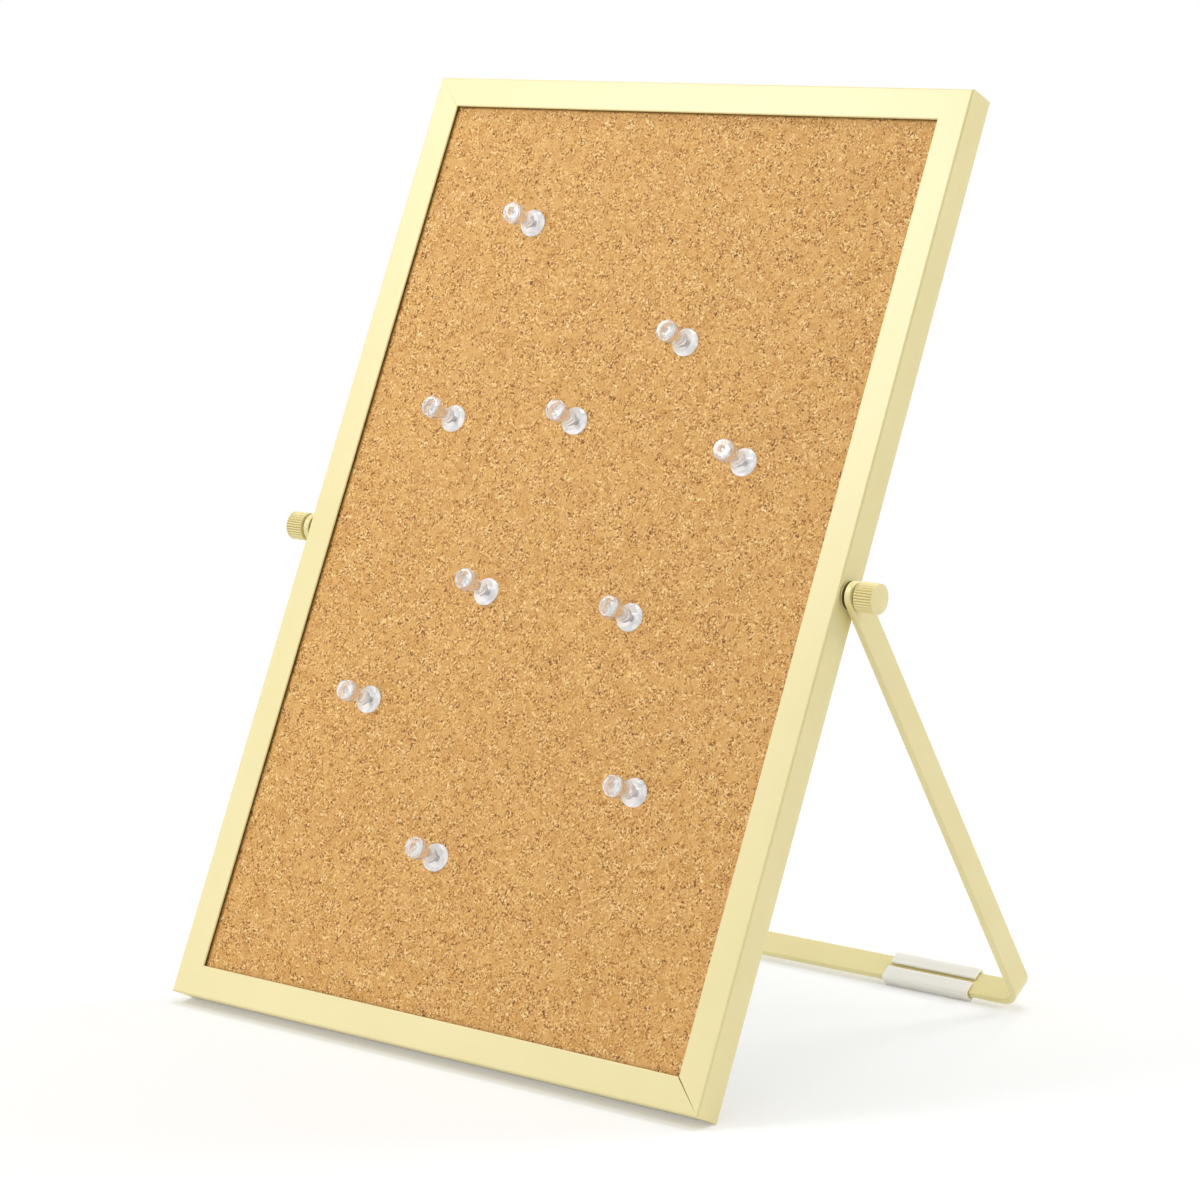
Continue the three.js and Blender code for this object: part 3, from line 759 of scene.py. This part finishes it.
class CORKBOARD_OT_pins(bpy.types.Operator):
    """Make the clear push pins and their needles"""
    bl_idname = "corkboard.pins"
    bl_label = "Push pins"

    def execute(self, context):
        sizes = context.scene.board_screws
        middle, width = 1.4 * sizes.flange, 0.5 * sizes.flange

        def fins(angle, height, r):
            """Three fins pressed out of the root, so that it can't pull out of the plastic:
            r + f exp(-((z - middle) / width)^2) |cos 1.5 a|^9."""
            swell = np.exp(-((height - middle) / width) ** 2)
            return r + sizes.fins * swell * np.abs(np.cos(1.5 * angle)) ** 9

        for number in PINS:
            place, rider = pin_place(number), f"push_pin_{number}"
            high = place.box(f"push_pin_body_{number}")[1]
            shape = turned(pin_profile(sizes, high[0], high[2]), ROUND_STEPS)
            body = make(f"pin_body_{number}", place, *shape, smooth=50)
            fit(body, rider, "clear_plastic", f"push_pin_body_{number}")
            body.data.materials.append(finish_of("frosted"))
            centres = np.array([face.center for face in body.data.polygons])
            base_height = 0.00001  # the faces below it are the flange's underside
            under = place.into(centres)[:, 2] < base_height
            body.data.polygons.foreach_set("material_index", under.astype(np.int32))
            low, high = place.box(f"push_pin_needle_{number}")
            shape = turned(needle_profile(sizes, high[0], low[2]), FINE_STEPS, fins)
            needle = make(f"pin_needle_{number}", place, *shape)
            fit(needle, rider, "bare_steel", f"push_pin_needle_{number}")
        return {"FINISHED"}


# Stand

def bar_strip(sizes, half, cross):
    """Middle surface of the bar as rows of points: down one leg, round a bend, along the
    crossbar, round the other bend and up. cross gives the places across the bar."""
    low, high = STAND.box("stand_bar")
    mid_x, mid_z = high[0] - half, low[2] + half
    radius = sizes.bend - half
    corners = [(-mid_x, -high[2]), (-mid_x, mid_z), (mid_x, mid_z), (mid_x, -high[2])]
    path = rounded(corners, (0, radius, radius, 0), steps=24, closed=False)
    x, z = path[:, :1], path[:, 1:]
    return np.stack(np.broadcast_arrays(x, cross[None, :], z), -1), mid_x


def bar_end(mid_x, half_width, hole, lower):
    """Rounded end of a leg, drilled: rings from the hole's circle out to an edge that is a
    half circle above the hole and three sides of a square below it. lower gives the angles of
    the points that the end shares with the strip."""
    upper = np.linspace(lower[-1] - 2 * math.pi, lower[0], 49)
    angle = np.concatenate([upper, lower[1:-1]])
    straight = half_width / np.maximum(np.abs(np.cos(angle)), np.abs(np.sin(angle)))
    edge = np.where(np.sin(angle) > 0, half_width, straight)
    radius = hole + (edge - hole) * np.linspace(0, 1, 4)[:, None]
    across, up = radius * np.cos(angle), radius * np.sin(angle)
    return np.stack([np.full_like(radius, mid_x), across, up], -1)


def bar_thickness():
    """From the outer side of a leg in to its inner side, which is nearest to the board."""
    local = STAND.into(corners_of("stand_bar"))
    inner = np.abs(local[local[:, 2] > 0][:, 0]).min()
    return local[:, 0].max() - inner


class CORKBOARD_OT_stand(bpy.types.Operator):
    """Make the bent flat bar"""
    bl_idname = "corkboard.stand"
    bl_label = "Stand"

    def execute(self, context):
        sizes = context.scene.board_stand
        half_width, thickness = STAND.box("stand_bar")[1][1], bar_thickness()
        lower = np.linspace(5 * math.pi / 4, 7 * math.pi / 4, 9)
        cross = half_width * np.cos(lower) / np.abs(np.sin(lower))
        strip, mid_x = bar_strip(sizes, thickness / 2, cross)
        points, faces = [strip.reshape(-1, 3)], quads(*strip.shape[:2]).tolist()
        for side in (-1, 1):
            ring = bar_end(side * mid_x, half_width, sizes.hole, lower)
            cells = quads(*ring.shape[:2], around=True) + sum(len(p) for p in points)
            faces += (cells if side > 0 else cells[:, ::-1]).tolist()
            points.append(ring.reshape(-1, 3))
        piece = make("bent_bar", STAND, np.concatenate(points), faces, sheet=True)
        thicken(piece, thickness, sizes.edge, segments=4, angle=40)
        fit(piece, "stand", "yellow_paint", "stand_bar")
        return {"FINISHED"}


class CORKBOARD_OT_sleeves(bpy.types.Operator):
    """Make the slit silicone sleeves on the crossbar"""
    bl_idname = "corkboard.sleeves"
    bl_label = "Silicone sleeves"

    def execute(self, context):
        sizes = context.scene.board_stand
        skin, slit = sizes.sleeve_wall / 2, sizes.slit / 2
        radius = sizes.sleeve_round - skin
        for name in SIDES:
            low, high = STAND.box(f"silicone_sleeve_{name}")
            near, far, floor, roof = low[1] + skin, high[1] - skin, low[2] + skin, high[2] - skin
            corners = [(-slit, roof), (near, roof), (near, floor), (far, floor), (far, roof),
                       (slit, roof)]
            path = rounded(corners, (0, radius, radius, radius, radius, 0), steps=8, closed=False)
            run = np.linspace(low[0], high[0], 25)[:, None]
            rows = np.stack(np.broadcast_arrays(run, path[None, :, 0], path[None, :, 1]), -1)
            faces = quads(*rows.shape[:2]).tolist()
            piece = make(f"sleeve_{name}", STAND, rows.reshape(-1, 3), faces)
            thicken(piece, sizes.sleeve_wall, sizes.sleeve_edge, segments=3, angle=50)
            fit(piece, "stand", "silicone", f"silicone_sleeve_{name}")
        return {"FINISHED"}


# Thumb screws

def ring_profile(low, high, bore, edge, step):
    """Section of a flat ring with eased edges, narrower by a step in the outer part of its
    thickness. It has an extra ring of points where the painted shade of that part begins."""
    middle, neck = 0.7 * low[2] + 0.3 * high[2], high[0] - step
    corners = [(bore, low[2]), (high[0], low[2]), (high[0], middle), (high[0] - 4 * edge, middle),
               (neck, middle), (neck, high[2]), (bore, high[2])]
    return rounded(corners, (edge, edge, edge, 0, 0, edge, edge), steps=4)


class CORKBOARD_OT_screws(bpy.types.Operator):
    """Make the knurled thumb screws, their studs, spacers and washers"""
    bl_idname = "corkboard.screws"
    bl_label = "Thumb screws"

    def execute(self, context):
        sizes = context.scene.board_screws
        bore = context.scene.board_stand.hole
        for name, side in SIDES.items():
            place = screw_place(side)
            for kind, body, step in (("pivot_spacer", "board", sizes.boss),
                                     ("knob_washer", f"{name}_washer", sizes.step)):
                low, high = place.box(f"{kind}_{name}")
                profile = ring_profile(low, high, bore, sizes.ring_edge, step)
                points, faces = turned(profile, FINE_STEPS, ring=True)
                piece = make(f"{kind}_ring_{name}", place, points, faces)
                # Painted shade on the narrow step, in the gap beside the leg or knob, inside an unshaded rim
                reach = np.hypot(points[:, 0], points[:, 1])
                mark(piece, "gap_shade", reach < high[0] - sizes.unshaded_rim)
                modify(piece, "WEIGHTED_NORMAL", keep_sharp=True)
                fit(piece, body, "nylon", f"{kind}_{name}")
            self.knob(place, name, sizes, bore)
            self.stud(place, name, sizes)
        return {"FINISHED"}

    def knob(self, place, name, sizes, bore):
        """Turned body whose radius is R - f d (1 - |sin(n a / 2)|): round ribs with narrow
        grooves of depth d, faded out by f near both rims."""
        low, high = place.box(f"thumb_screw_knob_{name}")
        base, top, radius, edge = low[2], high[2], high[0], sizes.chamfer
        outer = rounded([(bore, base), (radius, base), (radius, top), (0, top)],
                        (0, edge, edge, 0), steps=6, closed=False)
        wall = upright(radius, np.linspace(base + edge, top - edge, 26)[1:-1])
        split = int(np.where(outer[:, 1] <= base + edge + MERGE)[0].max()) + 1
        seat = base + sizes.seat
        profile = np.concatenate([[(0, seat), (bore, seat)], outer[:split], wall, outer[split:]])
        end, end_fade, base_fade = top - sizes.plain_end, 0.0001, 0.0003

        def flutes(angle, height, r):
            fade = np.clip((end - height) / end_fade, 0, 1) * (r > radius - 1.2 * edge)
            start = np.clip((height - base) / base_fade, 0, 1)
            groove = 1 - np.abs(np.sin(sizes.flutes * angle / 2))
            return r - sizes.flute * fade * start * groove

        shape = turned(profile, STEPS_PER_FLUTE * sizes.flutes, flutes)
        piece = make(f"knurled_knob_{name}", place, *shape, smooth=30)
        fit(piece, f"{name}_thumb_screw", "yellow_paint", f"thumb_screw_knob_{name}")

    def stud(self, place, name, sizes):
        """Shank with a helical thread: its radius is R - d |2 frac(z / p - a / 2 pi) - 1| on the
        threaded length, and R above it."""
        low, high = place.box(f"thumb_screw_stud_{name}")
        tip, top, radius = low[2], high[2], high[0]
        runout, core = tip + sizes.threaded, radius - sizes.thread
        heights = (np.linspace(tip, runout, 73)[1:], np.linspace(runout, top, 8)[1:])
        body = upright(radius, np.concatenate(heights))
        profile = np.concatenate([[(0, tip), (core, tip)], body, [(0, top)]])

        def thread(angle, height, r):
            turn = np.mod(height / sizes.pitch - angle / (2 * math.pi), 1)
            cut = np.clip((runout - height) / sizes.pitch, 0, 1) * (r > core)
            return r - sizes.thread * cut * np.abs(2 * turn - 1)

        piece = make(f"threaded_stud_{name}", place, *turned(profile, THREAD_STEPS, thread))
        fit(piece, f"{name}_thumb_screw", "bare_steel", f"thumb_screw_stud_{name}")


# Carried-over CAD nodes

class CORKBOARD_OT_finishes(bpy.types.Operator):
    """Give each CAD node the finish of its slot"""
    bl_idname = "corkboard.finishes"
    bl_label = "Finishes of the CAD nodes"

    def execute(self, context):
        for part in frame["record"]["subparts"]:
            node = frame["nodes"][part["node"]]
            for slot in node.material_slots:
                slot.material = finish_of(part["material_slot"])
        return {"FINISHED"}


# Stage

FLOOR_HALF = 8  # half the side of the floor
# Azimuth and elevation in degrees, distance from the aim and width in metres, power in watts
LAMPS = {
    "key": (-45, 44, 0.9, 0.36, 2.45),
    "low": (-42, 14, 1.0, 0.4, 0.95),
    "side": (110, 35, 1.3, 0.3, 1.0),
    "back": (150, 32, 1.2, 0.4, 4.5),
    "top": (170, 82, 1.2, 0.5, 4.5),
}


def seen_rays(tree):
    """1 on rays from the camera, in reflections and through glass, and 0 on all others."""
    ray = add(tree, "LightPath").outputs
    seen = ray["Is Camera Ray"]
    for kind in ("Is Glossy Ray", "Is Transmission Ray"):
        seen = add(tree, "Math", links={0: seen, 1: ray[kind]}, operation="MAXIMUM")
    return seen


def studio_paper():
    """White paper sweep, matt. It looks three tenths plain white near the object, where it keeps
    a lightened shadow, and wholly white 0.6 m away. Other rays see paper everywhere."""
    made, tree, where = finish("White_paper", Base_Color=linear("#FAFAF9"), Roughness=0.9)
    away = add(tree, "VectorMath", links={0: where}, operation="LENGTH").outputs["Value"]
    far = add(tree, "MapRange", {"From Min": 0.2, "From Max": 0.6, "To Min": 0.3}, {0: away},
              interpolation_type="SMOOTHSTEP")
    share = add(tree, "Math", links={0: far, 1: seen_rays(tree)}, operation="MULTIPLY")
    white = add(tree, "Emission", {"Color": (1, 1, 1, 1), "Strength": 1})
    paper = tree.nodes["Principled BSDF"]
    mixed = add(tree, "MixShader", links={0: share, 1: paper, 2: white})
    return join(made, Surface=mixed)


def towards(azimuth, elevation):
    """Direction from the aim to a camera or a lamp: (sin a cos e, -cos a cos e, sin e)."""
    level = math.cos(elevation)
    return Vector((math.sin(azimuth) * level, -math.cos(azimuth) * level, math.sin(elevation)))


def softbox(name, aim, azimuth, elevation, distance, width, power):
    """Square area light on a sphere round the aim, turned to face it."""
    back = towards(math.radians(azimuth), math.radians(elevation))
    light = bpy.data.lights.new(name, "AREA")
    light.shape, light.size, light.energy = "SQUARE", width, power
    lamp = put(name, light)
    lamp.location = aim + back * distance
    lamp.rotation_mode = "QUATERNION"
    lamp.rotation_quaternion = back.to_track_quat("Z", "Y")


def room_light(strength):
    """World that is plain white to the camera, reflections and glass, and gives the rest of
    the scene an even light of this strength."""
    world = bpy.data.worlds.new("Studio")
    world.use_nodes = True
    tree = world.node_tree
    level = add(tree, "MapRange", {"To Min": strength, "To Max": 1}, {0: seen_rays(tree)})
    background = tree.nodes["Background"]
    background.inputs["Color"].default_value = (1, 1, 1, 1)
    tree.links.new(socket(level), background.inputs["Strength"])
    bpy.context.scene.world = world


class CORKBOARD_OT_stage(bpy.types.Operator):
    """Make the floor, the lights, the white room and the camera"""
    bl_idname = "corkboard.stage"
    bl_label = "Stage"

    def execute(self, context):
        settings = context.scene.board_stage
        corners = [(x * FLOOR_HALF, y * FLOOR_HALF, 0)
                   for x, y in ((-1, -1), (1, -1), (1, 1), (-1, 1))]
        mesh = bpy.data.meshes.new("floor")
        mesh.from_pydata(corners, [], [(0, 1, 2, 3)])
        mesh.materials.append(studio_paper())
        floor = put("floor", mesh)

        aim = Vector(pivot_point()) + Vector(settings.aim)
        for name, lamp in LAMPS.items():
            softbox(name, aim, *lamp)
        room_light(settings.fill)

        back = towards(settings.azimuth, settings.elevation)
        right = Vector((math.cos(settings.azimuth), math.sin(settings.azimuth), 0))
        axes = Matrix((right, back.cross(right), back)).transposed().to_4x4()
        lens = bpy.data.cameras.new("camera")
        lens.lens, lens.sensor_width = settings.lens, 36
        camera = put("camera", lens)
        camera.matrix_world = (Matrix.Translation(aim + back * settings.distance) @ axes
                               @ Matrix.Rotation(settings.roll, 4, "Z"))
        context.scene.camera = camera
        context.scene.view_settings.view_transform = "Standard"
        return {"FINISHED"}


class CORKBOARD_PT_panel(bpy.types.Panel):
    """Lists the operators and settings"""
    bl_idname = "CORKBOARD_PT_panel"
    bl_label = "Cork board"
    bl_space_type = "VIEW_3D"
    bl_region_type = "UI"
    bl_category = "Cork board"

    def draw(self, context):
        for operator in OPERATORS:
            self.layout.operator(operator.bl_idname)
        for group in SETTINGS:
            for name in SETTINGS[group].__annotations__:
                self.layout.prop(getattr(context.scene, group), name)


OPERATORS = (
    CORKBOARD_OT_finishes, CORKBOARD_OT_frame, CORKBOARD_OT_cork, CORKBOARD_OT_pins,
    CORKBOARD_OT_stand, CORKBOARD_OT_sleeves, CORKBOARD_OT_screws, CORKBOARD_OT_stage,
)
SETTINGS = {
    "board_frame": BoardFrameSizes, "board_stand": StandSizes,
    "board_screws": ScrewSizes, "board_stage": StageSettings,
}


def register():
    for group, kind in SETTINGS.items():
        bpy.utils.register_class(kind)
        setattr(bpy.types.Scene, group, PointerProperty(type=kind))
    for kind in (*OPERATORS, CORKBOARD_PT_panel):
        bpy.utils.register_class(kind)


def unregister():
    for kind in (CORKBOARD_PT_panel, *reversed(OPERATORS)):
        bpy.utils.unregister_class(kind)
    for group, kind in SETTINGS.items():
        delattr(bpy.types.Scene, group)
        bpy.utils.unregister_class(kind)


def main():
    """Registers the add-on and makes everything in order."""
    register()
    bpy.ops.corkboard.finishes()
    bpy.ops.corkboard.frame()
    bpy.ops.corkboard.cork()
    bpy.ops.corkboard.pins()
    bpy.ops.corkboard.stand()
    bpy.ops.corkboard.sleeves()
    bpy.ops.corkboard.screws()
    bpy.ops.corkboard.stage()


if __name__ == "__main__":
    main()
